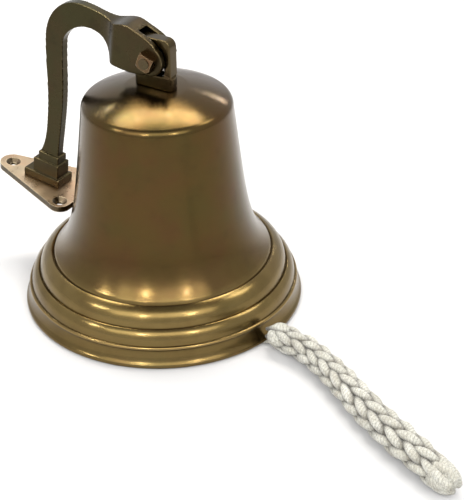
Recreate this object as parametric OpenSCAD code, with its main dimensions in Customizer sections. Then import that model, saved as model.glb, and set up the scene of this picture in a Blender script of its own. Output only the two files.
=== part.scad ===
/* [Bell] */
// Radius of the mouth at the rim
mouth_r = 101.6; // [96:0.5:107]
// Height of the flat seat on top of the crown
crown_z = 166.5; // [166:0.1:167]
// Thickness of the bell wall at the waist
wall_t = 4.2; // [3.6:0.1:5]
// Facets around the bell
bell_fn = 160; // [96:8:192]

/* [Crown staple] */
// Depth of the staple, front to back
staple_d = 8.6; // [7.6:0.2:9]
// Half width of the eye in the staple
eye_hw = 9.6; // [9:0.1:10.2]
// Height of the pivot bolt above the mouth
pivot_z = 188.3; // [188:0.1:189]

/* [Bracket] */
// How far the resting bracket leans away from the bell, in degrees
lean = 7; // [7:0.25:12]
// Thickness of the arm
arm_t = 7; // [6:0.2:8]
// Width across the two cheeks of the fork
fork_w = 18.3; // [17.4:0.1:19]
// Width of the slot between the cheeks
slot_w = 9.8; // [9.6:0.1:10.2]
// Thickness of the wall plate
plate_t = 4.6; // [4:0.1:5.2]
// Radius of each wall screw hole
hole_r = 2.6; // [2.2:0.1:3]

/* [Clapper] */
// Direction of the clapper's swing about the bell axis, in degrees
swing_yaw = -15; // [-25:1:-5]
// Radius of the clapper ball
ball_r = 16.5; // [14:0.5:17]
// Height of the clapper pin above the mouth
clapper_z = 136; // [135:0.5:137]

/* [Lanyard] */
// Radius of the thick braided part
braid_r = 12; // [11.4:0.1:12.2]
// Radius of the thin cord that ties the braid to the clapper
loop_r = 1.8; // [1.4:0.1:2]

/* [Hidden] */
eps = 0.01;
dr = mouth_r - 101.6;      // every ring of the flare follows the mouth radius
stud_r = 4;                // M8 stud under the staple
crown_in = crown_z - 5;    // underside of the crown
bolt_r = 4;                // M8 pivot bolt
pocket_r = 21;             // round pocket between the fork's cheeks
plate_top = -133.3;        // front face of the wall plate, measured from the pivot
hole_1 = [-119.6, 0];      // screw hole at the plate's point
hole_2 = [-60.5, 20.4];      // and the pair nearest the bell

// point on a quadratic curve
function quad(a, b, c, t) = (1 - t) * (1 - t) * a + 2 * t * (1 - t) * b + t * t * c;
function quad_pts(a, b, c, n) = [for (i = [0:n]) quad(a, b, c, i / n)];
// point on a cubic curve
function cub(a, b, c, d, t) = pow(1 - t, 3) * a + 3 * t * pow(1 - t, 2) * b + 3 * t * t * (1 - t) * c + pow(t, 3) * d;
function cub_pts(a, b, c, d, n) = [for (i = [1:n]) cub(a, b, c, d, i / n)];
function arc(cx, cy, r, a0, a1, n) = [for (i = [0:n]) [cx + r * cos(a0 + (a1 - a0) * i / n), cy + r * sin(a0 + (a1 - a0) * i / n)]];
// outside radius of the waist at a height above the mouth
function waist(z) = 54.94 + dr + 0.114 * (135 - z) + 12.3 * exp(-(z - 41) / 15);

// ---- bell: outside from the rim up to the crown
waist_top = 152.8;
shoulder_r = 6.24;
shoulder_c = [46.71 + dr, 152.1];
dome_a = 65.7;
dome_r = shoulder_r + shoulder_c[0] / cos(dome_a);
dome_z = shoulder_c[1] - shoulder_c[0] * tan(dome_a);
dome_a1 = asin((crown_z - dome_z) / dome_r);
outside = concat(
    [[94.6 + dr, 0]],
    arc(99.4 + dr, 2.2, 2.2, -90, 25, 8),
    quad_pts([101.2 + dr, 3.6], [98.4 + dr, 5.8], [97.6 + dr, 12.9], 8),
    arc(97 + dr, 14.6, 1.5, -60, 105, 8),
    quad_pts([96.5 + dr, 16.5], [95.9 + dr, 24], [91.5 + dr, 26.2], 10),
    [[90.9 + dr, 26.3], [90.2 + dr, 25.7], [89.9 + dr, 26.7]],
    quad_pts([89.8 + dr, 27.2], [88.8 + dr, 36.2], [81 + dr, 38.9], 12),
    [[80.4 + dr, 38.9], [79.5 + dr, 38], [78.9 + dr, 39.3]],
    [for (i = [0:44]) let (z = 40.6 + (waist_top - 40.6) * pow(i / 44, 1.25)) [waist(z), z]],
    arc(shoulder_c[0], shoulder_c[1], shoulder_r, 9, dome_a, 10),
    [for (i = [1:10]) let (a = dome_a + (dome_a1 - dome_a) * i / 10) [dome_r * cos(a), dome_z + dome_r * sin(a)]]);
// ---- bell: inside from the crown hole down to the mouth
inside = concat(
    [[stud_r + 0.4, crown_z], [stud_r + 0.4, crown_in], [30, crown_in]],
    quad_pts([38, crown_in - 1.4], [45.8 + dr, 157], [waist(148) - wall_t, 147], 8),
    [for (i = [1:24]) let (z = 147 - 97 * i / 24) [waist(z) - wall_t, z]],
    quad_pts([waist(46) - wall_t - 0.8, 45], [79.5 + dr, 31], [86.6 + dr, 20], 6),
    quad_pts([88.2 + dr, 17], [92.3 + dr, 8], [94.6 + dr, 0], 6));

module bell_body() {
    color([0.43, 0.34, 0.19])
        rotate_extrude($fn = bell_fn) polygon(concat(outside, [for (i = [0:len(inside) - 2]) inside[i]]));
}

// ---- crown staple: closed loop on a broad foot, with a stud down through the crown
staple_hw = 14.8;
staple_top = 203.5;
foot_hw = 15.8;
base_top = pivot_z - 11.5;
module round_rect(hw, z0, z1, r) {
    translate([-hw + r, z0]) square([2 * hw - 2 * r, z1 - z0]);
    translate([-hw, z0 + r]) square([2 * hw, z1 - z0 - 2 * r]);
    for (x = [-hw + r, hw - r], z = [z0 + r, z1 - r]) translate([x, z]) circle(r = r, $fn = 48);
}
module crown_staple() {
    color([0.33, 0.27, 0.16]) {
        difference() {
            union() {
                rotate([90, 0, 0]) linear_extrude(staple_d, center = true)
                    round_rect(staple_hw, crown_z + 3, staple_top, 5.5);
                // foot, a little wider and deeper than the loop; the fork's cheeks straddle it
                translate([0, 0, crown_z]) linear_extrude(base_top - crown_z) {
                    square([2 * foot_hw - 7.6, 9.4], center = true);
                    square([2 * foot_hw, 1.8], center = true);
                    for (x = [-1, 1], y = [-1, 1]) translate([x * (foot_hw - 3.8), y * 0.9]) circle(r = 3.8, $fn = 64);
                }
            }
            // the eye
            rotate([90, 0, 0]) linear_extrude(40, center = true)
                round_rect(eye_hw, base_top, staple_top - 6.2, 3.2);
        }
        // stud
        translate([0, 0, crown_in - 14]) cylinder(r = stud_r, h = 14 + 5 + 2, $fn = 64);
    }
}

// ---- clamping stack and clevis under the crown
washer_t = 1.6;
clevis_t = 3;
lock_t = 1.6;
nut_t = 6.5;
z_clevis = crown_in - washer_t;
z_lock = z_clevis - clevis_t;
z_nut = z_lock - lock_t;
module ring(r0, r1, h) {
    difference() {
        cylinder(r = r1, h = h, $fn = 64);
        translate([0, 0, -1]) cylinder(r = r0, h = h + 2, $fn = 64);
    }
}
module crown_washer() { color([0.62, 0.5, 0.27]) translate([0, 0, z_clevis]) ring(stud_r + 0.4, 15, washer_t); }
module crown_lock_washer() {
    color([0.6, 0.6, 0.6]) translate([0, 0, z_nut]) difference() {
        ring(stud_r + 0.2, 7.2, lock_t);
        // the split that makes it a spring washer
        translate([5.7, 0, 0.8]) rotate([25, 0, 0]) cube([5, 0.9, 6], center = true);
    }
}
module crown_nut() {
    color([0.62, 0.5, 0.27]) translate([0, 0, z_nut - nut_t]) difference() {
        cylinder(r = 13 / 2 / cos(30), h = nut_t, $fn = 6);
        translate([0, 0, -1]) cylinder(r = stud_r + 0.02, h = nut_t + 2, $fn = 64);
    }
}
leg_in = 8.3;
leg_t = 3;
pin_r = 3;
module clapper_clevis() {
    color([0.55, 0.43, 0.22]) rotate([0, 0, swing_yaw]) difference() {
        union() {
            translate([-7, -leg_in - leg_t, z_lock]) cube([14, 2 * (leg_in + leg_t), clevis_t]);
            for (s = [-1, 1]) translate([0, s * (leg_in + leg_t / 2), 0]) {
                translate([-7, -leg_t / 2, clapper_z]) cube([14, leg_t, z_lock - clapper_z + 1]);
                translate([0, 0, clapper_z]) rotate([90, 0, 0]) cylinder(r = 7, h = leg_t, center = true, $fn = 64);
            }
        }
        translate([0, 0, z_lock - 5]) cylinder(r = stud_r + 0.4, h = 20, $fn = 64);
        translate([0, 0, clapper_z]) rotate([90, 0, 0]) cylinder(r = pin_r + 0.02, h = 60, center = true, $fn = 64);
    }
}
module clapper_pin() {
    color([0.6, 0.6, 0.6]) rotate([0, 0, swing_yaw]) translate([0, 0, clapper_z]) difference() {
        union() {
            rotate([90, 0, 0]) translate([0, 0, -15]) cylinder(r = pin_r, h = 15 + leg_in + leg_t, $fn = 64);
            rotate([90, 0, 0]) translate([0, 0, leg_in + leg_t]) cylinder(r = 4.6, h = 2, $fn = 48);
        }
        translate([0, 13.2, 0]) cylinder(r = 0.8, h = 20, center = true, $fn = 24);
    }
}
module clapper_split_pin() {
    color([0.66, 0.66, 0.66]) rotate([0, 0, swing_yaw]) translate([0, 13.2, clapper_z]) {
        translate([0, 0, -6]) cylinder(r = 0.75, h = 10, $fn = 24);
        translate([0, 0, 5.4]) rotate([90, 0, 0]) rotate_extrude($fn = 40) translate([1.6, 0]) circle(r = 0.75, $fn = 20);
    }
}

// ---- clapper: eyed rod, ball and tail eye
ball_z = 30;
module clapper_rod() {
    color([0.42, 0.33, 0.18]) rotate([0, 0, swing_yaw]) difference() {
        union() {
            translate([0, 0, clapper_z]) rotate([90, 0, 0]) cylinder(r = 6.6, h = 2 * leg_in - 0.8, center = true, $fn = 64);
            translate([0, 0, ball_z + 22]) cylinder(r = 4, h = clapper_z - ball_z - 22 - 3.4, $fn = 64);
            translate([0, 0, ball_z + 15.6]) rotate_extrude($fn = 64) polygon([[0, 0], [5.6, 0], [5.6, 1.4], [4, 6.4], [0, 6.4]]);
            translate([0, 0, 10]) cylinder(r = 3, h = ball_z + 6, $fn = 64);
        }
        translate([0, 0, clapper_z]) rotate([90, 0, 0]) cylinder(r = pin_r + 0.05, h = 60, center = true, $fn = 64);
    }
}
module clapper_ball() {
    color([0.45, 0.35, 0.19]) translate([0, 0, ball_z]) difference() {
        rotate_extrude($fn = 96) polygon(concat([[0, -ball_r]], arc(0, 0, ball_r, -84, 84, 36), [[0, ball_r]]));
        translate([0, 0, -20]) cylinder(r = 3.02, h = 40, $fn = 64);
        translate([0, 0, 15.58]) cylinder(r = 8, h = 5, $fn = 64);
        translate([0, 0, -20]) cylinder(r = 6.2, h = 20 - ball_r + 0.9, $fn = 64);
    }
}
tail_z = 7.8;
module clapper_tail_eye() {
    color([0.5, 0.39, 0.2]) rotate([0, 0, swing_yaw]) difference() {
        union() {
            translate([0, 0, tail_z]) cylinder(r = 4.6, h = ball_z - ball_r + 0.8 - tail_z, $fn = 48);
            translate([0, 0, tail_z]) rotate([0, 90, 0]) cylinder(r = 5.4, h = 5, center = true, $fn = 64);
        }
        translate([0, 0, 10]) cylinder(r = 3.02, h = 20, $fn = 64);
        // the eye faces the way the lanyard pulls
        translate([0, 0, tail_z - 0.6]) rotate([0, 90, 0]) cylinder(r = 2.5, h = 30, center = true, $fn = 48);
    }
}

// ---- bracket: everything that leans is drawn from the pivot, then leaned
module leaned() { translate([0, 0, pivot_z]) rotate([0, lean, 0]) children(); }

module pivot_bolt() {
    color([0.52, 0.42, 0.24]) translate([0, 0, pivot_z]) rotate([90, 0, 0]) {
        translate([0, 0, -fork_w / 2 - 1.2 - 0.2]) cylinder(r = bolt_r, h = fork_w + 1.4 + 0.2 + 5.4, $fn = 64);
        translate([0, 0, -fork_w / 2 - 1.4 - 5]) cylinder(r = 13 / 2 / cos(30), h = 5, $fn = 6);
    }
}
module pivot_washer() {
    color([0.58, 0.47, 0.27]) translate([0, 0, pivot_z]) rotate([90, 0, 0])
        translate([0, 0, -fork_w / 2 - 1.35]) ring(bolt_r + 0.2, 8, 1.2);
}
module pivot_nut() {
    color([0.5, 0.38, 0.2]) translate([0, 0, pivot_z]) rotate([90, 22, 0])
        translate([0, 0, fork_w / 2 + 0.15]) difference() {
            intersection() {
                translate([-5.6, -5.6, 0]) cube([11.2, 11.2, 5]);
                // the corners of the outer face are turned off at a slant
                rotate_extrude($fn = 64) polygon([[0, 0], [9, 0], [9, 3.2], [6.4, 5], [0, 5]]);
            }
            translate([0, 0, -1]) cylinder(r = bolt_r + 0.02, h = 8, $fn = 64);
        }
}

// side outline of the arm and fork, from the pivot, before it leans
outline = concat(
    // rounded nose about the pivot, over to the top
    arc(0, 0, 11.1, -96, 62, 22),
    cub_pts([5.2, 9.8], [3.4, 13.2], [-3, 15.6], [-9.5, 17.2], 10),
    cub_pts([-9.5, 17.2], [-13, 18.2], [-16.5, 19.6], [-20.5, 19.7], 8),
    // back of the arm: over the top and down the outside
    cub_pts([-20.5, 19.7], [-27, 19.2], [-29, 16.4], [-35, 17], 8),
    cub_pts([-35, 17], [-42, 17.8], [-50, 19.5], [-60, 19.6], 12),
    cub_pts([-60, 19.6], [-78, 19.8], [-90.4, 4], [-90.2, -15], 16),
    cub_pts([-90.2, -15], [-90, -34], [-86.2, -52], [-86.4, -74], 14),
    cub_pts([-86.4, -74], [-86.5, -90], [-87.2, -100], [-91, -108.6], 12),
    [[-91, -112], [-76.2, -112]],
    // inside of the arm, back up
    cub_pts([-76.2, -112], [-76, -98], [-74, -84], [-73.6, -64], 14),
    cub_pts([-73.6, -64], [-73.3, -44], [-75.8, -30], [-75.4, -14], 12),
    cub_pts([-75.4, -14], [-74, -6], [-64, 4.1], [-52, 4.1], 14),
    cub_pts([-52, 4.1], [-44, 4.1], [-34.5, 0], [-32, -13.4], 14),
    [[-22, -14], [-16, -14], [-9, -13.2]]);
// half thickness along the arm, seen from above
plan_pts = concat(
    [[30, fork_w / 2], [-28.6, fork_w / 2]],
    cub_pts([-28.6, fork_w / 2], [-33, fork_w / 2 - 0.6], [-32, arm_t / 2 + 1.2], [-44, arm_t / 2], 10),
    [[-92, arm_t / 2]]);
plan = concat(plan_pts, [for (i = [len(plan_pts) - 1:-1:0]) [plan_pts[i][0], -plan_pts[i][1]]]);
module slab(x0, x1, hy, z0, z1) { translate([x0, -hy, z0]) cube([x1 - x0, 2 * hy, z1 - z0]); }
screw_x = [-92, -78];
module bracket_arm() {
    color([0.3, 0.25, 0.16]) leaned() difference() {
        union() {
            intersection() {
                rotate([90, 0, 0]) linear_extrude(40, center = true) polygon(outline);
                translate([0, 0, -120]) linear_extrude(160) polygon(plan);
            }
            // stepped foot
            slab(-92.4, -74.6, 5.4, -117, -110);
            slab(-95.6, -73.3, 7, -127, -116.2);
            slab(-102.6, -71, 8.7, plate_top, -127);
        }
        // round pocket that the staple turns in
        rotate([90, 0, 0]) cylinder(r = pocket_r, h = slot_w, center = true, $fn = 96);
        // pivot bore through both cheeks
        rotate([90, 0, 0]) cylinder(r = bolt_r + 0.05, h = 60, center = true, $fn = 64);
        // tapped holes for the foot screws
        for (x = screw_x) translate([x, 0, plate_top - 1]) cylinder(r = 2.52, h = 15, $fn = 48);
    }
}

// ---- wall plate: triangle with round corners and three countersunk holes
corner_1 = 10;
corner_2 = 8.2;
// outline of the plate: round corners joined by straight tangents
plate_side = let (d = hole_2 - hole_1) atan2(d[1], d[0]) + acos((corner_1 - corner_2) / norm(d));
module plate_outline() {
    polygon(concat(
        arc(hole_1[0], hole_1[1], corner_1, plate_side, 360 - plate_side, 32),
        arc(hole_2[0], -hole_2[1], corner_2, -plate_side, 0, 16),
        arc(hole_2[0], hole_2[1], corner_2, 0, plate_side, 16)));
}
wall_holes = [hole_1, hole_2, [hole_2[0], -hole_2[1]]];
module countersink(r, R, t) {
    translate([0, 0, -1]) cylinder(r = r, h = t + 2, $fn = 64);
    translate([0, 0, t - (R - r)]) cylinder(r1 = r, r2 = R, h = R - r + eps, $fn = 64);
    translate([0, 0, t]) cylinder(r = R, h = 1, $fn = 64);
}
module wall_plate() {
    color([0.6, 0.45, 0.27]) leaned() translate([0, 0, plate_top - plate_t]) difference() {
        linear_extrude(plate_t) plate_outline();
        for (h = wall_holes) translate(h) countersink(hole_r, 5.5, plate_t);
        for (x = screw_x) translate([x, 0, plate_t]) mirror([0, 0, 1]) countersink(2.6, 4.9, plate_t);
    }
}
module foot_screws() {
    color([0.62, 0.6, 0.55]) leaned() for (x = screw_x) translate([x, 0, plate_top - plate_t + 0.15]) difference() {
        union() {
            cylinder(r = 2.5, h = plate_t + 12, $fn = 48);
            cylinder(r1 = 4.6, r2 = 2.5, h = 2.1, $fn = 48);
        }
        translate([-6, -0.6, -1]) cube([12, 1.2, 2]);
    }
}

// ---- lanyard: a tube swept along its route
function unit(v) = v / norm(v);
function tangent(p, i) = unit(p[min(i + 1, len(p) - 1)] - p[max(i - 1, 0)]);
function side(t) = unit([t[1], -t[0], 0]);
function up_of(t) = cross(side(t), t);
function smooth(p, n) = [for (i = [0:len(p) - 2]) let (a = p[max(i - 1, 0)], b = p[i], c = p[i + 1], d = p[min(i + 2, len(p) - 1)])
    for (k = [0:n - 1]) let (t = k / n) 0.5 * (2 * b + (c - a) * t + (2 * a - 5 * b + 4 * c - d) * t * t + (3 * b - a - 3 * c + d) * t * t * t), p[len(p) - 1]];
// route holds [x, y, z, half width, half height]
module tube(route, sides, n) {
    s = smooth(route, n);
    pts = [for (q = s) [q[0], q[1], q[2]]];
    rings = [for (i = [0:len(s) - 1]) let (t = tangent(pts, i), u = side(t), v = up_of(t))
        for (k = [0:sides - 1]) let (a = 360 * (k + 0.5) / sides) pts[i] + s[i][3] * cos(a) * u + s[i][4] * sin(a) * v];
    m = len(s);
    polyhedron(points = rings, faces = concat(
        [[for (k = [0:sides - 1]) k]],
        [for (i = [0:m - 2], k = [0:sides - 1]) let (a = i * sides + k, b = i * sides + (k + 1) % sides) [a, a + sides, b + sides, b]],
        [[for (k = [sides - 1:-1:0]) (m - 1) * sides + k]]));
}
// thin cord: stopper knot behind the tail eye, through the eye, down to the surface, and flat under the rim
loop_route = [
    [-8.9, 2.4, 6.6, 1.6, 1.6],
    [-7.7, 2.1, 6.8, 3.2, 3],
    [-5.6, 1.5, 7.1, 3.5, 3.3],
    [-4, 1.1, 7.2, 2, 2],
    [-3, 0.8, 7.2, loop_r, loop_r],
    [1, -0.3, 7.2, loop_r, loop_r],
    [8, -2, 6.2, loop_r, loop_r],
    [17, -4.5, 3.4, loop_r, loop_r],
    [28, -7.2, 2.1, loop_r, loop_r],
    [45, -11, 2, loop_r, loop_r],
    [62, -14.4, 2, loop_r, loop_r],
    [78, -17.3, 2, loop_r, loop_r],
    [88, -18.9, 1.5, 2.2, 1.2],
    [94, -19.6, 0.6, 3.2, 0.5],
    [99, -20.1, 0.6, 3.2, 0.5],
    [104.6, -20.4, 3.4, 2, 1.7]];
module lanyard_loop() { color([0.86, 0.84, 0.76]) tube(loop_route, 8, 3); }
// thick braid, lying on the surface and swelling towards its tail
function lying(x, y, d) = [x, y, braid_r - d + 0.2, braid_r - d, braid_r - d];
braid_route = [
    [105, -20.4, 9.8, 7.6, 7.6],
    [108, -21, 10.2, 9.6, 9.6],
    lying(113, -22, 1.7),
    lying(125, -24.2, 1.7),
    lying(140, -28.5, 1.6),
    lying(163, -40.5, 1.2),
    lying(190, -58, 0.6),
    lying(218, -75, 0),
    lying(245, -87.8, 0.2),
    lying(258, -94, 0.7)];
module lanyard_braid() { color([0.92, 0.9, 0.83]) tube(braid_route, 12, 3); }
// the strands folded over and tucked at the tail
knot_route = [
    lying(258, -94, 0.7),
    lying(265, -97.2, 1),
    [272, -100.3, 11, 10.6, 10.6],
    [278, -103, 10.8, 8.6, 9.4],
    [281, -104.3, 10.6, 5.2, 6]];
module lanyard_tail_knot() { color([0.92, 0.9, 0.83]) tube(knot_route, 12, 2); }

bell_body();
crown_staple();
crown_washer();
crown_lock_washer();
crown_nut();
clapper_clevis();
clapper_pin();
clapper_split_pin();
clapper_rod();
clapper_ball();
clapper_tail_eye();
pivot_bolt();
pivot_washer();
pivot_nut();
bracket_arm();
wall_plate();
foot_screws();
lanyard_loop();
lanyard_braid();
lanyard_tail_knot();
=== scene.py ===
import bpy, bmesh, math
import numpy as np
from mathutils import Vector, Matrix


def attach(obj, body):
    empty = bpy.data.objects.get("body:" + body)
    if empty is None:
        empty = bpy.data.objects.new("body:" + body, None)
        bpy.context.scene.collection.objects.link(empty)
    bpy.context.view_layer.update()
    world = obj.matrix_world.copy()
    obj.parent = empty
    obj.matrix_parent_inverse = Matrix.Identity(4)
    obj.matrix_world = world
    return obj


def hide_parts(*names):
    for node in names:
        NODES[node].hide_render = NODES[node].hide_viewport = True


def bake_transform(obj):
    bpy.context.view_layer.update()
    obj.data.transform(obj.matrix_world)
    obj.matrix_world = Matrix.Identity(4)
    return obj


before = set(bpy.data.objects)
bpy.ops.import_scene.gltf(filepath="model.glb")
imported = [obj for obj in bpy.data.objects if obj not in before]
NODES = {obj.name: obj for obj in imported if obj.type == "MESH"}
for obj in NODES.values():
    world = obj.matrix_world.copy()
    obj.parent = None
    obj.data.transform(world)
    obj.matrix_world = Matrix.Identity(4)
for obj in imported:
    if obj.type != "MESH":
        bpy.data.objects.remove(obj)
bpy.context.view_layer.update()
scene = bpy.context.scene
scene.view_settings.view_transform = "Standard"
scene.view_settings.look = "None"
scene.view_settings.exposure = -0.15
MM = 0.001

# ------------------------------------------------------------------ camera
right = Vector((0.85203, 0.52341, -0.00952))
up = Vector((-0.26911, 0.45353, 0.84964))
forward = Vector((-0.44903, 0.72136, -0.52727))
cam_data = bpy.data.cameras.new("camera")
cam_data.sensor_fit = "AUTO"
cam_data.sensor_width = 36.0
cam_data.lens = 108.0
cam_data.clip_start, cam_data.clip_end = 0.05, 50.0
cam = bpy.data.objects.new("camera", cam_data)
scene.collection.objects.link(cam)
cam.matrix_world = Matrix((
    (right.x, up.x, -forward.x, 0.53601),
    (right.y, up.y, -forward.y, -0.76551),
    (right.z, up.z, -forward.z, 0.61239),
    (0, 0, 0, 1)))
scene.camera = cam


# ------------------------------------------------------------------ helpers
def new_object(name, verts, faces, smooth=True):
    me = bpy.data.meshes.new(name)
    me.from_pydata([tuple(map(float, v)) for v in verts], [], [tuple(int(i) for i in f) for f in faces])
    me.update()
    if smooth:
        me.polygons.foreach_set("use_smooth", [True] * len(me.polygons))
    ob = bpy.data.objects.new(name, me)
    scene.collection.objects.link(ob)
    return ob


def float_attribute(ob, name, values):
    a = ob.data.attributes.new(name, "FLOAT", "POINT")
    a.data.foreach_set("value", np.asarray(values, np.float32))


def catmull(points, n):
    """Points of a smooth curve through the given points, n steps a span."""
    p = np.asarray(points, float)
    out = []
    for i in range(len(p) - 1):
        a, b, c, d = p[max(i - 1, 0)], p[i], p[i + 1], p[min(i + 2, len(p) - 1)]
        for k in range(n):
            t = k / n
            out.append(0.5 * (2 * b + (c - a) * t + (2 * a - 5 * b + 4 * c - d) * t * t + (3 * b - a - 3 * c + d) * t ** 3))
    out.append(p[-1])
    return np.array(out)


def unit(v):
    return v / np.maximum(np.linalg.norm(v, axis=-1, keepdims=True), 1e-12)


class Route:
    """A centreline with a level side vector and an upright vector at each point."""

    def __init__(self, pts):
        self.p = np.asarray(pts, float)
        seg = np.linalg.norm(np.diff(self.p, axis=0), axis=1)
        self.s = np.concatenate([[0], np.cumsum(seg)])
        self.length = self.s[-1]
        t = unit(np.gradient(self.p, self.s, axis=0))
        u = unit(np.stack([t[:, 1], -t[:, 0], np.zeros(len(t))], 1))
        self.t, self.u, self.v = t, u, np.cross(u, t)

    def at(self, s):
        """centre, tangent, side and upright at lengths s; straight beyond the ends."""
        s = np.asarray(s, float)
        sc = np.clip(s, 0, self.length)
        f = lambda a: np.stack([np.interp(sc, self.s, a[:, k]) for k in range(3)], -1)
        c, t, u, v = f(self.p), unit(f(self.t)), unit(f(self.u)), unit(f(self.v))
        return c + t * (s - sc)[..., None], t, u, v


# ------------------------------------------------------------------ the lanyard, first of all
# the same routes as the CAD tubes, in metres
LOOP = np.array([
    [-8.9, 2.4, 6.6, 1.6, 1.6], [-7.7, 2.1, 6.8, 3.2, 3], [-5.6, 1.5, 7.1, 3.5, 3.3], [-4, 1.1, 7.2, 2, 2], [-3, 0.8, 7.2, 1.8, 1.8],
    [1, -0.3, 7.2, 1.8, 1.8], [8, -2, 6.2, 1.8, 1.8], [17, -4.5, 3.4, 1.8, 1.8], [28, -7.2, 2.1, 1.8, 1.8], [45, -11, 2, 1.8, 1.8],
    [62, -14.4, 2, 1.8, 1.8], [78, -17.3, 2, 1.8, 1.8], [88, -18.9, 1.5, 2.2, 1.2], [94, -19.6, 0.6, 3.2, 0.5],
    [99, -20.1, 0.6, 3.2, 0.5], [104.6, -20.4, 3.4, 2, 1.7]]) * MM
# x, y, z and radius of the braid
BRAID = np.array([
    [105, -20.4, 9.8, 8.6], [108, -21, 10.2, 9.8], [113, -22, 10.5, 10.3], [125, -24.2, 10.5, 10.3], [140, -28.5, 10.6, 10.4],
    [163, -40.5, 11, 10.8], [190, -58, 11.6, 11.4], [218, -75, 12.2, 12], [245, -87.8, 12, 11.8], [258, -94, 11.5, 11.3],
    [265, -97.2, 11.2, 11], [272, -100.3, 11, 10.6], [278, -103, 10.8, 10.2], [281, -104.3, 10.6, 9.8]]) * MM

loop_curve = catmull(LOOP, 8)
braid_curve = catmull(BRAID, 8)
braid = Route(braid_curve[:, :3])
BL = braid.length
COLUMNS = 8
SEAM = math.radians(29)


def braid_radius(s):
    return np.interp(s, braid.s, braid_curve[:, 3])


def strand_tube(centre, normal, half_w, half_h, sides, twist, ridge, plies):
    """Sweeps a plump twisted strand: an oval section with plies that wind along it."""
    n = len(centre)
    seg = np.linalg.norm(np.diff(centre, axis=0), axis=1)
    s = np.concatenate([[0], np.cumsum(seg)])
    t = unit(np.gradient(centre, s, axis=0))
    nn = unit(normal - np.sum(normal * t, 1, keepdims=True) * t)
    b = np.cross(t, nn)
    a = np.linspace(-0.5 * math.pi, 1.5 * math.pi, sides, endpoint=False)
    phase = a[None, :] * plies + (s * twist)[:, None]
    groove = 1 + ridge * (np.abs(np.sin(phase / 2)) ** 0.8 - 0.75)
    w = half_w[:, None] * groove
    h = half_h[:, None] * groove
    pts = centre[:, None, :] + (np.cos(a) * w)[..., None] * b[:, None, :] + (np.sin(a) * h)[..., None] * nn[:, None, :]
    verts = pts.reshape(-1, 3)
    faces = []
    for i in range(n - 1):
        for k in range(sides):
            k2 = (k + 1) % sides
            faces.append((i * sides + k, i * sides + k2, (i + 1) * sides + k2, (i + 1) * sides + k))
    faces.append(tuple(range(sides - 1, -1, -1)))
    faces.append(tuple((n - 1) * sides + k for k in range(sides)))
    depth = np.abs(np.sin(phase / 2)) ** 0.8
    return verts, faces, depth.ravel(), np.repeat(s, sides), np.tile(a, n)


def join_parts(name, parts):
    """One object of many closed pieces: each part is (verts, faces, depth, s, a, tint, deep)."""
    verts, faces, base = [], [], 0
    cols = {"ply": [], "strand_s": [], "strand_a": [], "tint": [], "gap_shade_depth": []}
    for v, f, d, s, a, t, g in parts:
        verts.append(v)
        faces += [tuple(i + base for i in q) for q in f]
        base += len(v)
        for key, val in (("ply", d), ("strand_s", s), ("strand_a", a), ("tint", np.full(len(v), t)), ("gap_shade_depth", g)):
            cols[key].append(val)
    ob = new_object(name, np.concatenate(verts), faces)
    for key, val in cols.items():
        float_attribute(ob, key, np.concatenate(val))
    return ob


def depth_in_braid(pts, s, sides):
    """How far out each point lies, as a fraction of the braid's radius, raised near the tail; the material paints the
    low points dark as painted shade.
    """
    c = braid.at(np.repeat(s, sides))[0]
    ends = np.clip((np.repeat(s, sides) - BL + 16 * MM) / (6 * MM), 0, 1)
    return np.linalg.norm(pts - c, axis=1) / braid_radius(np.repeat(s, sides)) + 0.5 * ends


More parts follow.
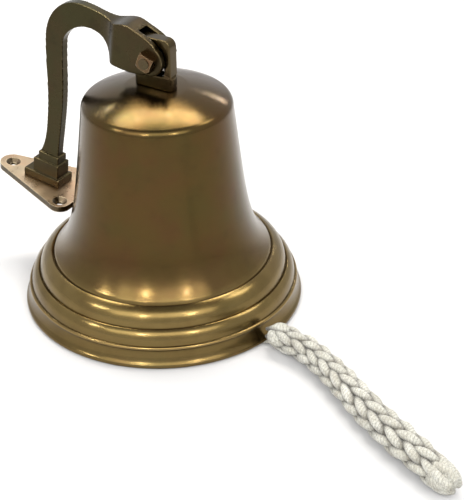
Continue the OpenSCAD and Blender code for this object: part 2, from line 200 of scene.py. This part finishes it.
def build_braid():
    rng = np.random.RandomState(11)
    parts = []
    # inner core, so that nothing shows between the strands; it is painted dark all over as painted shade
    cs = np.linspace(4 * MM, BL - 5 * MM, 90)
    c, t, u, v = braid.at(cs)
    end = np.clip(np.minimum(cs - cs[0], cs[-1] - cs) / (6 * MM), 0.15, 1) ** 0.5
    core = 0.50 * braid_radius(cs) * end
    cv, cf, cd, cs_, ca = strand_tube(c, v, core, core, 14, 0, 0, 1)
    parts.append((cv, cf, cd * 0, cs_, ca, 0.0, cd * 0 + 0.3))
    sides, rings = 14, 40
    tau = np.linspace(-0.84, 0.80, rings)
    e_head, e_tail = np.clip(-tau / 0.84, 0, 1), np.clip(tau / 0.80, 0, 1)
    # places of the tucks: about one and a half radii apart
    places, s = [], 7.0 * MM
    while s < BL - 7.0 * MM:
        places.append(s)
        s += 1.48 * float(braid_radius(s))
    for k in range(COLUMNS):
        lean = 1 if k % 2 == 0 else -1
        phi_c = SEAM + 2 * math.pi * (k + 0.5) / COLUMNS
        centres = [q + (0.74 * float(braid_radius(q)) if k % 2 == 0 else 0.0) for q in places]
        centres = [q for q in centres if q < BL - 8.5 * MM]
        if BL - 9.5 * MM - centres[-1] > 5.5 * MM:
            centres.append(BL - 9.5 * MM)
        for place_s in centres:
            r0 = float(braid_radius(place_s))
            pitch = 1.48 * r0
            sc = place_s + rng.uniform(-0.04, 0.04) * pitch
            s = sc + tau * pitch * 0.84
            phi = phi_c + lean * (tau * math.radians(22)) + rng.uniform(-0.06, 0.06)
            c, t, u, v = braid.at(s)
            rad = braid_radius(s)
            rise = 1 - e_head ** 1.5 - e_tail ** 2.1
            rr = (0.40 + (0.705 + rng.uniform(-0.06, 0.012) - 0.40) * rise) * rad
            n = np.cos(phi)[:, None] * v + np.sin(phi)[:, None] * u
            centre = c + n * rr[:, None]
            wide = (0.283 + rng.uniform(-0.014, 0.014)) * rad * (1 - 0.52 * e_head ** 1.6 - 0.26 * e_tail ** 3)
            high = (0.285 + rng.uniform(-0.008, 0.008)) * rad * (1 - 0.42 * e_head ** 1.8 - 0.30 * e_tail ** 3)
            pv, pf, pd, ps, pa = strand_tube(centre, n, wide, high, sides, lean * 2 * math.pi / (2.1 * MM), 0.055, 3)
            parts.append((pv, pf, pd, ps, pa, rng.uniform(0, 1), depth_in_braid(pv, s, sides)))
    # the strands turned over and tucked in at each end: plump lobes round the axis
    for s_end, sign, turn, reach in ((0.0, -1, SEAM + math.radians(45), 6.4), (BL, 1, SEAM + math.radians(50), 8.4)):
        r_end = float(braid_radius(np.clip(s_end - sign * 10 * MM, 0, BL)))
        for q in range(4):
            phi = math.pi * q / 2 + turn
            w = np.linspace(0, 1, 34)
            ang = w * math.radians(205) - math.radians(30)
            back = (12.4 if sign > 0 else 9.6) * MM - rng.uniform(0, 0.8) * MM
            radial = 0.54 * r_end * np.cos(ang) + 0.02 * r_end
            along = reach * MM * np.sin(ang)
            s = s_end - sign * back + sign * along
            c, t, u, v = braid.at(s)
            swing = phi + (w - 0.5) * 0.5 * (1 if q % 2 else -1)
            n = np.cos(swing)[:, None] * v + np.sin(swing)[:, None] * u
            centre = c + n * radial[:, None]
            out = n * np.cos(ang)[:, None] + t * (sign * np.sin(ang))[:, None]
            fade = 1 - 0.35 * np.abs(2 * w - 1) ** 2.5
            pv, pf, pd, ps, pa = strand_tube(centre, out, 0.47 * r_end * fade, 0.43 * r_end * fade, 18, 2 * math.pi / (2.3 * MM), 0.05, 3)
            parts.append((pv, pf, pd, ps, pa, rng.uniform(0, 1), depth_in_braid(pv, s, 18) * 0 + 1.0))
    for p in parts:  # it lies on the surface
        p[0][:, 2] = np.maximum(p[0][:, 2], 0.1 * MM)
    return join_parts("lanyard_braided_rope", parts)


def build_loop():
    centre = loop_curve[:, :3]
    fine = Route(centre)
    s = np.linspace(0, fine.length, 360)
    c, t, u, v = fine.at(s)
    w = np.interp(s, fine.s, loop_curve[:, 3])
    h = np.interp(s, fine.s, loop_curve[:, 4])
    pv, pf, pd, ps, pa = strand_tube(c, v, w, h, 18, 2 * math.pi / (2.4 * MM), 0.07, 3)
    pv[:, 2] = np.maximum(pv[:, 2], 0.05 * MM)
    return join_parts("lanyard_thin_cord", [(pv, pf, pd, ps, pa, 0.5, pd * 0 + 1.0)])


rope = build_braid()
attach(rope, "bell")
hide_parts("lanyard_braid", "lanyard_tail_knot")
thin = build_loop()
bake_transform(thin)
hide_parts("lanyard_loop")

# ------------------------------------------------------------------ the bell, turned on a fine profile
DEG = math.pi / 180


def arc(cx, cy, r, a0, a1, n):
    return [(cx + r * math.cos((a0 + (a1 - a0) * i / n) * DEG), cy + r * math.sin((a0 + (a1 - a0) * i / n) * DEG)) for i in range(n + 1)]


def quad(a, b, c, n):
    return [tuple((1 - t) ** 2 * a[k] + 2 * t * (1 - t) * b[k] + t * t * c[k] for k in (0, 1)) for t in [i / n for i in range(n + 1)]]


def waist(z):
    return 54.94 + 0.114 * (135 - z) + 12.3 * math.exp(-(z - 41) / 15)


CROWN = 166.5
dome_r = 6.24 + 46.71 / math.cos(65.7 * DEG)
dome_z = 152.1 - 46.71 * math.tan(65.7 * DEG)
dome_end = math.asin((CROWN - dome_z) / dome_r) / DEG
outside = ([(94.6, 0.0), (94.9, 0.0)] + arc(99.4, 2.2, 2.2, -90, 25, 12) + quad((101.2, 3.6), (98.4, 5.8), (97.6, 12.9), 14)
           + arc(97, 14.6, 1.5, -60, 105, 14) + quad((96.5, 16.5), (95.9, 24), (91.5, 26.2), 18)
           + [(91.2, 26.3), (90.9, 26.3), (90.5, 25.95), (90.2, 25.7), (90.0, 26.2), (89.9, 26.7)]
           + quad((89.8, 27.2), (88.8, 36.2), (81, 38.9), 22) + [(80.7, 38.97), (80.4, 38.9), (79.9, 38.4), (79.5, 38.05), (79.2, 38.6), (78.9, 39.3)]
           + [(waist(z), z) for z in [40.6 + (152.8 - 40.6) * (i / 84) ** 1.25 for i in range(85)]]
           + arc(46.71, 152.1, 6.24, 9, 65.7, 20)
           + [(dome_r * math.cos(a * DEG), dome_z + dome_r * math.sin(a * DEG)) for a in [65.7 + (dome_end - 65.7) * i / 16 for i in range(1, 17)]])
inside = ([(4.4, CROWN), (4.4, 161.5), (30, 161.5)] + quad((38, 160.1), (45.8, 157), (waist(148) - 4.2, 147), 10)[0:]
          + [(waist(z) - 4.2, z) for z in [147 - 97 * i / 30 for i in range(1, 31)]]
          + quad((waist(46) - 5.0, 45), (79.5, 31), (86.6, 20), 10) + quad((88.2, 17), (92.3, 8), (94.6, 0), 8)[:-1])


def clean(pts):
    out = [pts[0]]
    for p in pts[1:]:
        if math.hypot(p[0] - out[-1][0], p[1] - out[-1][1]) > 0.02:
            out.append(p)
    return out


n_out = len(clean(outside))
profile = clean(outside + inside)
SEG = 288
prof = np.array(profile)
m = len(prof)
closed = np.vstack([prof, prof[:1]])
prof_s = np.concatenate([[0], np.cumsum(np.linalg.norm(np.diff(closed, axis=0), axis=1))])[:m]
# proud edges and grooves of the profile: positive on the proud edges, painted bright as wear and painted highlight;
# negative in the grooves, painted dark as painted shade
d1 = unit(prof - np.roll(prof, 1, 0))
d2 = unit(np.roll(prof, -1, 0) - prof)
bend = d1[:, 0] * d2[:, 1] - d1[:, 1] * d2[:, 0]
span = 0.5 * (np.linalg.norm(prof - np.roll(prof, 1, 0), axis=1) + np.linalg.norm(np.roll(prof, -1, 0) - prof, axis=1))
curv = np.clip(bend / np.maximum(span, 0.25), -1.2, 1.2)
wear_highlight_groove_shade = np.zeros(m)
for i in range(m):
    w = np.exp(-((prof[:, 0] - prof[i, 0]) ** 2 + (prof[:, 1] - prof[i, 1]) ** 2) / (2 * 0.9 ** 2)) * span
    wear_highlight_groove_shade[i] = float((w * curv).sum() / max(w.sum(), 1e-6)) * 1.3
ang = np.linspace(0, 2 * math.pi, SEG, endpoint=False)
verts = np.stack([np.outer(prof[:, 0], np.cos(ang)), np.outer(prof[:, 0], np.sin(ang)), np.repeat(prof[:, 1][:, None], SEG, 1)], 2).reshape(-1, 3) * MM
faces = []
for i in range(m):
    i2 = (i + 1) % m
    for k in range(SEG):
        k2 = (k + 1) % SEG
        faces.append((i * SEG + k, i * SEG + k2, i2 * SEG + k2, i2 * SEG + k))
bell = new_object("bell_shell", verts, faces)
bell.data.set_sharp_from_angle(angle=38 * DEG)
float_attribute(bell, "turn", np.repeat(prof_s, SEG))
float_attribute(bell, "wear_highlight_groove_shade", np.repeat(wear_highlight_groove_shade, SEG))
# painted reflection: how much brighter and more golden each height of the outside is painted, most over the mouldings
# and lower bow
bow_sheen_by_height = np.interp(prof[:, 1], [0, 3, 12, 30, 39, 43, 62], [0.25, 0.45, 0.62, 0.85, 0.75, 0.30, 0.0]) * (np.arange(m) < n_out)
float_attribute(bell, "painted_bow_sheen", np.repeat(bow_sheen_by_height, SEG))
float_attribute(bell, "inner", np.repeat((np.arange(m) >= n_out).astype(float), SEG))
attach(bell, "bell")
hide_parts("bell_body")


# ------------------------------------------------------------------ cast pieces: the CAD shape with its edges and corners run soft
def casting(name, node, body, voxel, smooth):
    src = NODES[node]
    me = src.data.copy()
    ob = bpy.data.objects.new(name + "_work", me)
    scene.collection.objects.link(ob)
    bm = bmesh.new()
    bm.from_mesh(me)
    bmesh.ops.remove_doubles(bm, verts=bm.verts, dist=1e-6)
    bm.to_mesh(me)
    bm.free()
    r = ob.modifiers.new("remesh", "REMESH")
    r.mode, r.voxel_size, r.adaptivity, r.use_smooth_shade = "VOXEL", voxel, 0.0, True
    s = ob.modifiers.new("smooth", "SMOOTH")
    s.factor, s.iterations = 0.5, smooth
    dg = bpy.context.evaluated_depsgraph_get()
    out = bpy.data.meshes.new_from_object(ob.evaluated_get(dg))
    out.name = name
    out.materials.clear()
    bpy.data.objects.remove(ob)
    made = bpy.data.objects.new(name, out)
    scene.collection.objects.link(made)
    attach(made, body)
    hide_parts(node)
    return made


arm = casting("bracket_casting", "bracket_arm", "bracket", 0.5 * MM, 3)
staple = casting("crown_staple_casting", "crown_staple", "bell", 0.4 * MM, 9)


def bevel(node, width, segments=3, angle=32):
    ob = NODES[node]
    d = ob.modifiers.new("flat", "DECIMATE")
    d.decimate_type, d.angle_limit = "DISSOLVE", 0.6 * DEG
    b = ob.modifiers.new("bevel", "BEVEL")
    b.width, b.segments, b.limit_method, b.angle_limit = width, segments, "ANGLE", angle * DEG
    b.use_clamp_overlap = True
    b.harden_normals = False
    return ob


for node, width in (("wall_plate", 0.8 * MM), ("pivot_nut", 0.5 * MM), ("pivot_bolt", 0.4 * MM), ("pivot_washer", 0.25 * MM),
                    ("crown_nut", 0.4 * MM), ("crown_washer", 0.3 * MM), ("clapper_clevis", 0.4 * MM), ("clapper_rod", 0.3 * MM),
                    ("clapper_tail_eye", 0.4 * MM), ("clapper_pin", 0.3 * MM), ("foot_screws", 0.15 * MM), ("crown_lock_washer", 0.15 * MM)):
    bevel(node, width)


# ------------------------------------------------------------------ materials
def material(name):
    mat = bpy.data.materials.new(name)
    mat.use_nodes = True
    nt = mat.node_tree
    bsdf = nt.nodes["Principled BSDF"]
    return mat, nt, bsdf


def add(nt, kind, **values):
    n = nt.nodes.new(kind)
    for k, v in values.items():
        if k in ("operation", "data_type", "noise_dimensions", "attribute_name", "blend_type", "wave_type", "bands_direction", "wave_profile", "feature", "direction_type", "axis", "clamp", "interpolation_type", "distance_metric"):
            setattr(n, k, v)
        else:
            n.inputs[k.replace("_", " ")].default_value = v
    return n


def mix_rgb(nt, fac, a, b):
    n = nt.nodes.new("ShaderNodeMix")
    n.data_type = "RGBA"
    sockets = {"f": n.inputs[0], "a": n.inputs[6], "b": n.inputs[7]}
    for key, v in (("f", fac), ("a", a), ("b", b)):
        if isinstance(v, bpy.types.NodeSocket):
            nt.links.new(v, sockets[key])
        elif isinstance(v, (int, float)):
            sockets[key].default_value = v
        else:
            sockets[key].default_value = (*v, 1.0)
    return n.outputs[2]


def calc(nt, op, a, b=None, clamp=False):
    n = nt.nodes.new("ShaderNodeMath")
    n.operation, n.use_clamp = op, clamp
    for i, v in ((0, a), (1, b)):
        if v is None:
            continue
        if isinstance(v, bpy.types.NodeSocket):
            nt.links.new(v, n.inputs[i])
        else:
            n.inputs[i].default_value = v
    return n.outputs[0]


def span_map(nt, value, a, b, lo=0.0, hi=1.0, smooth=True):
    n = nt.nodes.new("ShaderNodeMapRange")
    n.interpolation_type = "SMOOTHSTEP" if smooth else "LINEAR"
    nt.links.new(value, n.inputs["Value"])
    n.inputs["From Min"].default_value, n.inputs["From Max"].default_value = a, b
    n.inputs["To Min"].default_value, n.inputs["To Max"].default_value = lo, hi
    return n.outputs["Result"]


def attribute(nt, name):
    n = nt.nodes.new("ShaderNodeAttribute")
    n.attribute_name = name
    return n.outputs["Fac"]


def place(nt, scale=(1, 1, 1), offset=(0, 0, 0)):
    tc = nt.nodes.new("ShaderNodeTexCoord")
    mp = nt.nodes.new("ShaderNodeMapping")
    mp.inputs["Scale"].default_value = scale
    mp.inputs["Location"].default_value = offset
    nt.links.new(tc.outputs["Object"], mp.inputs["Vector"])
    return mp.outputs["Vector"]


def noise(nt, vector, scale, detail=3.0, rough=0.55, distortion=0.0):
    n = nt.nodes.new("ShaderNodeTexNoise")
    nt.links.new(vector, n.inputs["Vector"])
    n.inputs["Scale"].default_value, n.inputs["Detail"].default_value = scale, detail
    n.inputs["Roughness"].default_value, n.inputs["Distortion"].default_value = rough, distortion
    return n.outputs["Fac"]


def line_noise(nt, value, scale, detail=2.0):
    """Noise along one number, for turned rings or drawn lines."""
    n = nt.nodes.new("ShaderNodeTexNoise")
    n.noise_dimensions = "1D"
    nt.links.new(value, n.inputs["W"])
    n.inputs["Scale"].default_value, n.inputs["Detail"].default_value = scale, detail
    return n.outputs["Fac"]


def bump(nt, bsdf, height, distance, strength=1.0, before=None):
    n = nt.nodes.new("ShaderNodeBump")
    nt.links.new(height, n.inputs["Height"])
    n.inputs["Distance"].default_value, n.inputs["Strength"].default_value = distance, strength
    if before is not None:
        nt.links.new(before, n.inputs["Normal"])
    nt.links.new(n.outputs["Normal"], bsdf.inputs["Normal"])
    return n.outputs["Normal"]


def brass(name, tone, red, olive, dark, bright, rough, rough_spread=0.06, coat=0.0, coat_rough=0.1, aniso=0.0, edges=0.0, rims=0.0, sides=0.0, rings=False, grain=0.0, grain_scale=900.0, offset=(0, 0, 0)):
    """Aged brass: a mottled patina, worn bright on the edges and dark in the recesses; on turned pieces also painted
    highlight, painted reflection and painted shade, and painted shade on the narrow sides.
    """
    mat, nt, b = material(name)
    v = place(nt, offset=offset)
    col = mix_rgb(nt, span_map(nt, noise(nt, v, 26, 4, 0.6), 0.40, 0.66), tone, red)
    col = mix_rgb(nt, span_map(nt, noise(nt, place(nt, offset=(3.1, 1.7, 0.4)), 19, 4, 0.6), 0.46, 0.70), col, olive)
    col = mix_rgb(nt, calc(nt, "MULTIPLY", span_map(nt, noise(nt, place(nt, offset=(7, 2, 5)), 75, 5, 0.65), 0.50, 0.80), 0.45), col, dark)
    r = span_map(nt, noise(nt, v, 48, 4, 0.6), 0.3, 0.7, rough - rough_spread, rough + rough_spread)
    if rings:
        turn, wear_highlight_groove_shade = attribute(nt, "turn"), attribute(nt, "wear_highlight_groove_shade")
        lines = line_noise(nt, turn, 3.0, 4)
        col = mix_rgb(nt, calc(nt, "MULTIPLY", span_map(nt, lines, 0.45, 0.75), 0.25), col, dark)
        # painted reflection: the mouldings and the lower bow are painted a brighter golden tone than the waist, for
        # the light they reflect
        painted_bow_sheen = calc(nt, "MULTIPLY", attribute(nt, "painted_bow_sheen"), span_map(nt, noise(nt, v, 30, 3, 0.55), 0.30, 0.62, 0.55, 1.0))
        col = mix_rgb(nt, painted_bow_sheen, col, (0.200, 0.142, 0.052))
        # wear and painted highlight: the proud edges of the mouldings are painted bright
        col = mix_rgb(nt, span_map(nt, wear_highlight_groove_shade, 0.36, 1.0), col, bright)
        # painted shade: the grooves between the mouldings are painted dark
        col = mix_rgb(nt, span_map(nt, wear_highlight_groove_shade, -0.10, -0.60), col, (dark[0] * 0.35, dark[1] * 0.35, dark[2] * 0.35))
        fine = line_noise(nt, turn, 9.0, 3)
        r = calc(nt, "ADD", r, span_map(nt, fine, 0.3, 0.7, -0.03, 0.03))
        bump(nt, b, fine, 0.000012)
        tan = nt.nodes.new("ShaderNodeTangent")
        tan.direction_type, tan.axis = "RADIAL", "Z"
        nt.links.new(tan.outputs["Tangent"], b.inputs["Tangent"])
    if edges:
        g = nt.nodes.new("ShaderNodeNewGeometry")
        pointy = g.outputs["Pointiness"]
        scuff = calc(nt, "MULTIPLY", span_map(nt, noise(nt, v, 160, 4, 0.6), 0.25, 0.60, 0.45, 1.0), edges)
        col = mix_rgb(nt, calc(nt, "MULTIPLY", span_map(nt, pointy, 0.520, 0.62), scuff), col, bright)
        col = mix_rgb(nt, span_map(nt, pointy, 0.490, 0.43), col, (dark[0] * 0.5, dark[1] * 0.5, dark[2] * 0.5))
        r = calc(nt, "SUBTRACT", r, calc(nt, "MULTIPLY", span_map(nt, pointy, 0.515, 0.60), 0.08))
    if sides:
        # painted shade: the narrow sides and the insides of the countersinks, which do not face up, are painted dark
        # for the dark surroundings they reflect
        g = nt.nodes.new("ShaderNodeNewGeometry")
        sep = nt.nodes.new("ShaderNodeSeparateXYZ")
        nt.links.new(g.outputs["Normal"], sep.inputs["Vector"])
        flat = span_map(nt, calc(nt, "ABSOLUTE", sep.outputs["Z"]), 0.62, 0.93)
        col = mix_rgb(nt, calc(nt, "MULTIPLY", calc(nt, "SUBTRACT", 1.0, flat), sides), col, (0.045, 0.036, 0.020))
    if rims:
        # bright line along the bevelled edges of a flat piece
        bv = nt.nodes.new("ShaderNodeBevel")
        bv.samples = 4
        bv.inputs["Radius"].default_value = rims
        g = nt.nodes.new("ShaderNodeNewGeometry")
        dot = nt.nodes.new("ShaderNodeVectorMath")
        dot.operation = "DOT_PRODUCT"
        nt.links.new(bv.outputs["Normal"], dot.inputs[0])
        nt.links.new(g.outputs["Normal"], dot.inputs[1])
        edge = span_map(nt, dot.outputs["Value"], 0.985, 0.88)
        col = mix_rgb(nt, calc(nt, "MULTIPLY", edge, 0.55), col, bright)
    if grain:
        cast = noise(nt, v, grain_scale, 4, 0.6)
        bump(nt, b, cast, grain)
    nt.links.new(col, b.inputs["Base Color"])
    nt.links.new(r, b.inputs["Roughness"])
    b.inputs["Metallic"].default_value = 1.0
    b.inputs["Coat Weight"].default_value = coat
    b.inputs["Coat Roughness"].default_value = coat_rough
    b.inputs["Anisotropic"].default_value = aniso
    b.inputs["Anisotropic Rotation"].default_value = 0.25
    return mat


bell_mat = brass("antique_brass_spun", (0.084, 0.052, 0.0165), (0.088, 0.047, 0.0175), (0.073, 0.053, 0.0165), (0.050, 0.031, 0.011), (0.30, 0.205, 0.08),
                 0.20, 0.03, coat=0.05, coat_rough=0.10, aniso=0.8, rings=True)
dark_mat = brass("antique_brass_cast", (0.046, 0.036, 0.016), (0.050, 0.033, 0.016), (0.043, 0.038, 0.016), (0.022, 0.017, 0.009), (0.50, 0.38, 0.19),
                 0.30, 0.07, coat=0.03, coat_rough=0.2, edges=0.9, grain=0.00008, grain_scale=700)
staple_mat = brass("antique_brass_staple", (0.062, 0.045, 0.019), (0.066, 0.041, 0.020), (0.057, 0.047, 0.019), (0.028, 0.020, 0.010), (0.50, 0.38, 0.19),
                   0.22, 0.06, coat=0.06, coat_rough=0.12, edges=0.6, grain=0.00004, grain_scale=500, offset=(1, 2, 3))
plate_mat = brass("worn_red_brass_plate", (0.46, 0.345, 0.225), (0.50, 0.315, 0.195), (0.40, 0.34, 0.23), (0.22, 0.16, 0.105), (0.85, 0.70, 0.46),
                  0.30, 0.07, coat=0.05, coat_rough=0.2, rims=0.0012, sides=0.9, grain=0.00005, grain_scale=600, offset=(4, 1, 2))
nut_mat = brass("worn_red_brass_nut", (0.115, 0.072, 0.034), (0.125, 0.066, 0.032), (0.095, 0.073, 0.035), (0.05, 0.034, 0.019), (0.50, 0.38, 0.21),
                0.28, 0.06, coat=0.1, rims=0.0006, grain=0.00004, grain_scale=900, offset=(2, 6, 1))
bolt_mat = brass("aged_brass_bolt", (0.075, 0.056, 0.028), (0.082, 0.050, 0.026), (0.066, 0.055, 0.028), (0.036, 0.027, 0.016), (0.60, 0.46, 0.24),
                 0.30, 0.06, coat=0.1, grain=0.00003, grain_scale=1100, offset=(3, 3, 6))
turned_mat = brass("turned_brass", (0.46, 0.325, 0.140), (0.47, 0.30, 0.135), (0.42, 0.325, 0.140), (0.22, 0.150, 0.070), (0.85, 0.66, 0.36),
                   0.25, 0.06, grain=0.00002, grain_scale=1400, offset=(5, 5, 1))
clapper_mat = brass("cast_brass_clapper", (0.20, 0.135, 0.060), (0.21, 0.12, 0.060), (0.18, 0.14, 0.060), (0.085, 0.06, 0.03), (0.60, 0.45, 0.22),
                    0.33, 0.07, grain=0.00008, grain_scale=600, offset=(9, 1, 4))


def steel_material():
    mat, nt, b = material("zinc_plated_steel")
    v = place(nt)
    n1 = noise(nt, v, 180, 4, 0.6)
    col = mix_rgb(nt, span_map(nt, n1, 0.35, 0.7), (0.56, 0.56, 0.55), (0.40, 0.39, 0.36))
    nt.links.new(col, b.inputs["Base Color"])
    nt.links.new(span_map(nt, n1, 0.3, 0.7, 0.24, 0.40), b.inputs["Roughness"])
    bump(nt, b, noise(nt, v, 1500, 3, 0.6), 0.00002)
    b.inputs["Metallic"].default_value = 1.0
    return mat


def cotton_material():
    mat, nt, b = material("natural_cotton_cord")
    v = place(nt)
    ply, tint, ss, aa = attribute(nt, "ply"), attribute(nt, "tint"), attribute(nt, "strand_s"), attribute(nt, "strand_a")
    col = mix_rgb(nt, tint, (0.60, 0.592, 0.515), (0.72, 0.712, 0.64))
    col = mix_rgb(nt, calc(nt, "MULTIPLY", span_map(nt, noise(nt, v, 90, 4, 0.6), 0.42, 0.70), 0.7), col, (0.42, 0.39, 0.31))
    # beige flecks of seed in the unbleached yarn
    fleck = span_map(nt, noise(nt, place(nt, offset=(5, 1, 2)), 760, 4, 0.8), 0.47, 0.62)
    col = mix_rgb(nt, calc(nt, "MULTIPLY", fleck, 0.55), col, (0.24, 0.22, 0.17))
    wind = calc(nt, "ADD", calc(nt, "MULTIPLY", aa, 3.0), calc(nt, "MULTIPLY", ss, 2992.0))
    plies = calc(nt, "ABSOLUTE", calc(nt, "SINE", calc(nt, "MULTIPLY", wind, 0.5)))
    # painted shade: the creases between the plies are painted darker
    col = mix_rgb(nt, span_map(nt, plies, 0.42, 0.0), col, (0.36, 0.34, 0.28))
    # painted shade: the gaps between the strands, and the inner core seen through them, are painted dark
    col = mix_rgb(nt, span_map(nt, attribute(nt, "gap_shade_depth"), 0.91, 0.66), col, (0.10, 0.09, 0.068))
    nt.links.new(col, b.inputs["Base Color"])
    # fine yarns wound round each ply
    fuzz = noise(nt, v, 1500, 4, 0.65)
    h = calc(nt, "ADD", calc(nt, "MULTIPLY", plies, 0.5), calc(nt, "MULTIPLY", fuzz, 1.5))
    bump(nt, b, h, 0.0010)
    nt.links.new(span_map(nt, fuzz, 0.3, 0.7, 0.80, 0.98), b.inputs["Roughness"])
    b.inputs["Sheen Weight"].default_value = 0.35
    b.inputs["Sheen Roughness"].default_value = 0.5
    b.inputs["Specular IOR Level"].default_value = 0.25
    b.inputs["Subsurface Weight"].default_value = 0.05
    b.inputs["Subsurface Radius"].default_value = (0.0015, 0.0012, 0.0008)
    b.inputs["Subsurface Scale"].default_value = 1.0
    return mat


steel_mat, cotton_mat = steel_material(), cotton_material()


def dress(ob, mat):
    if not ob.material_slots:
        ob.data.materials.append(mat)
    for s in ob.material_slots:
        s.material = mat


dress(bell, bell_mat), dress(arm, dark_mat), dress(staple, staple_mat)
dress(rope, cotton_mat), dress(thin, cotton_mat)
for node, mat in (("wall_plate", plate_mat), ("pivot_nut", nut_mat), ("pivot_bolt", bolt_mat), ("pivot_washer", nut_mat),
                  ("crown_washer", turned_mat), ("crown_nut", turned_mat), ("clapper_clevis", turned_mat), ("clapper_tail_eye", turned_mat),
                  ("clapper_rod", clapper_mat), ("clapper_ball", clapper_mat), ("crown_lock_washer", steel_mat), ("clapper_pin", steel_mat),
                  ("clapper_split_pin", steel_mat), ("foot_screws", steel_mat)):
    dress(NODES[node], mat)
for node in NODES.values():
    if not node.hide_render:
        node.data.polygons.foreach_set("use_smooth", [True] * len(node.data.polygons))
        node.data.set_sharp_from_angle(angle=30 * DEG)

# ------------------------------------------------------------------ floor and light
bpy.ops.mesh.primitive_plane_add(size=14, location=(0, 0, -0.0002))
floor = bpy.context.object
floor.name = "floor"
floor_mat, fnt, fb = material("pale_floor")
fb.inputs["Base Color"].default_value = (0.58, 0.58, 0.585, 1)
fb.inputs["Roughness"].default_value = 0.75
fb.inputs["Specular IOR Level"].default_value = 0.2
dress(floor, floor_mat)

world = bpy.data.worlds.new("world")
scene.world = world
world.use_nodes = True
wn = world.node_tree
bg = wn.nodes["Background"]
wtc = wn.nodes.new("ShaderNodeTexCoord")
wsep = wn.nodes.new("ShaderNodeSeparateXYZ")
wn.links.new(wtc.outputs["Generated"], wsep.inputs["Vector"])
# bright walls of a light tent, darker overhead
wn.links.new(span_map(wn, wsep.outputs["Z"], 0.80, 0.97, 1.12, 0.45), bg.inputs["Strength"])
bg.inputs["Color"].default_value = (0.97, 0.98, 1.0, 1)


def area(name, where, target, size_x, size_y, radiance, colour=(1, 1, 1), spread=180):
    L = bpy.data.lights.new(name, "AREA")
    L.shape, L.size, L.size_y = "RECTANGLE", size_x, size_y
    L.energy = radiance * size_x * size_y * math.pi
    L.color = colour
    L.spread = spread * DEG
    ob = bpy.data.objects.new(name, L)
    scene.collection.objects.link(ob)
    ob.location = where
    d = Vector(target) - Vector(where)
    ob.rotation_mode = "QUATERNION"
    ob.rotation_quaternion = d.to_track_quat("-Z", "Y")
    return ob


# directions: toward the camera on the floor, and to its right
to_cam = Vector((0.536, -0.7655, 0)).normalized()
to_right = Vector((0.85203, 0.52341, 0)).normalized()


def spot(front, side, height):
    p = to_cam * front + to_right * side
    return (p.x, p.y, height)


def polar(az, elev, dist):
    """A place at an angle round from the camera's side, an elevation and a distance."""
    a, e = az * DEG, elev * DEG
    return spot(dist * math.cos(e) * math.cos(a), dist * math.cos(e) * math.sin(a), 0.05 + dist * math.sin(e))


area("back_box", polar(180, 65, 1.5), (0, 0, 0.12), 1.15, 0.33, 19.0, (1.0, 0.955, 0.88))
area("front_wall", polar(-4, 45, 1.9), (0, 0, 0.06), 3.2, 0.95, 3.1, (1.0, 0.975, 0.93))
for i, (az, elev) in enumerate(((-155, 66), (168, 65), (154, 30), (-149, 44))):
    area("point_%d" % i, polar(az, elev, 1.4), (0, 0, 0.12), 0.045, 0.045, 80)
area("key", polar(105, 52, 1.5), spot(0.0, 0.05, 0.05), 0.40, 0.40, 8.0, (1.0, 0.97, 0.92))
area("lamp_a", polar(-66, 38, 1.6), (0, 0, 0.06), 0.10, 0.20, 60)
area("lamp_b", polar(-21, 37, 1.6), (0, 0, 0.06), 0.10, 0.20, 60)
area("lamp_c", polar(25, 38, 1.6), (0, 0, 0.06), 0.10, 0.20, 50)
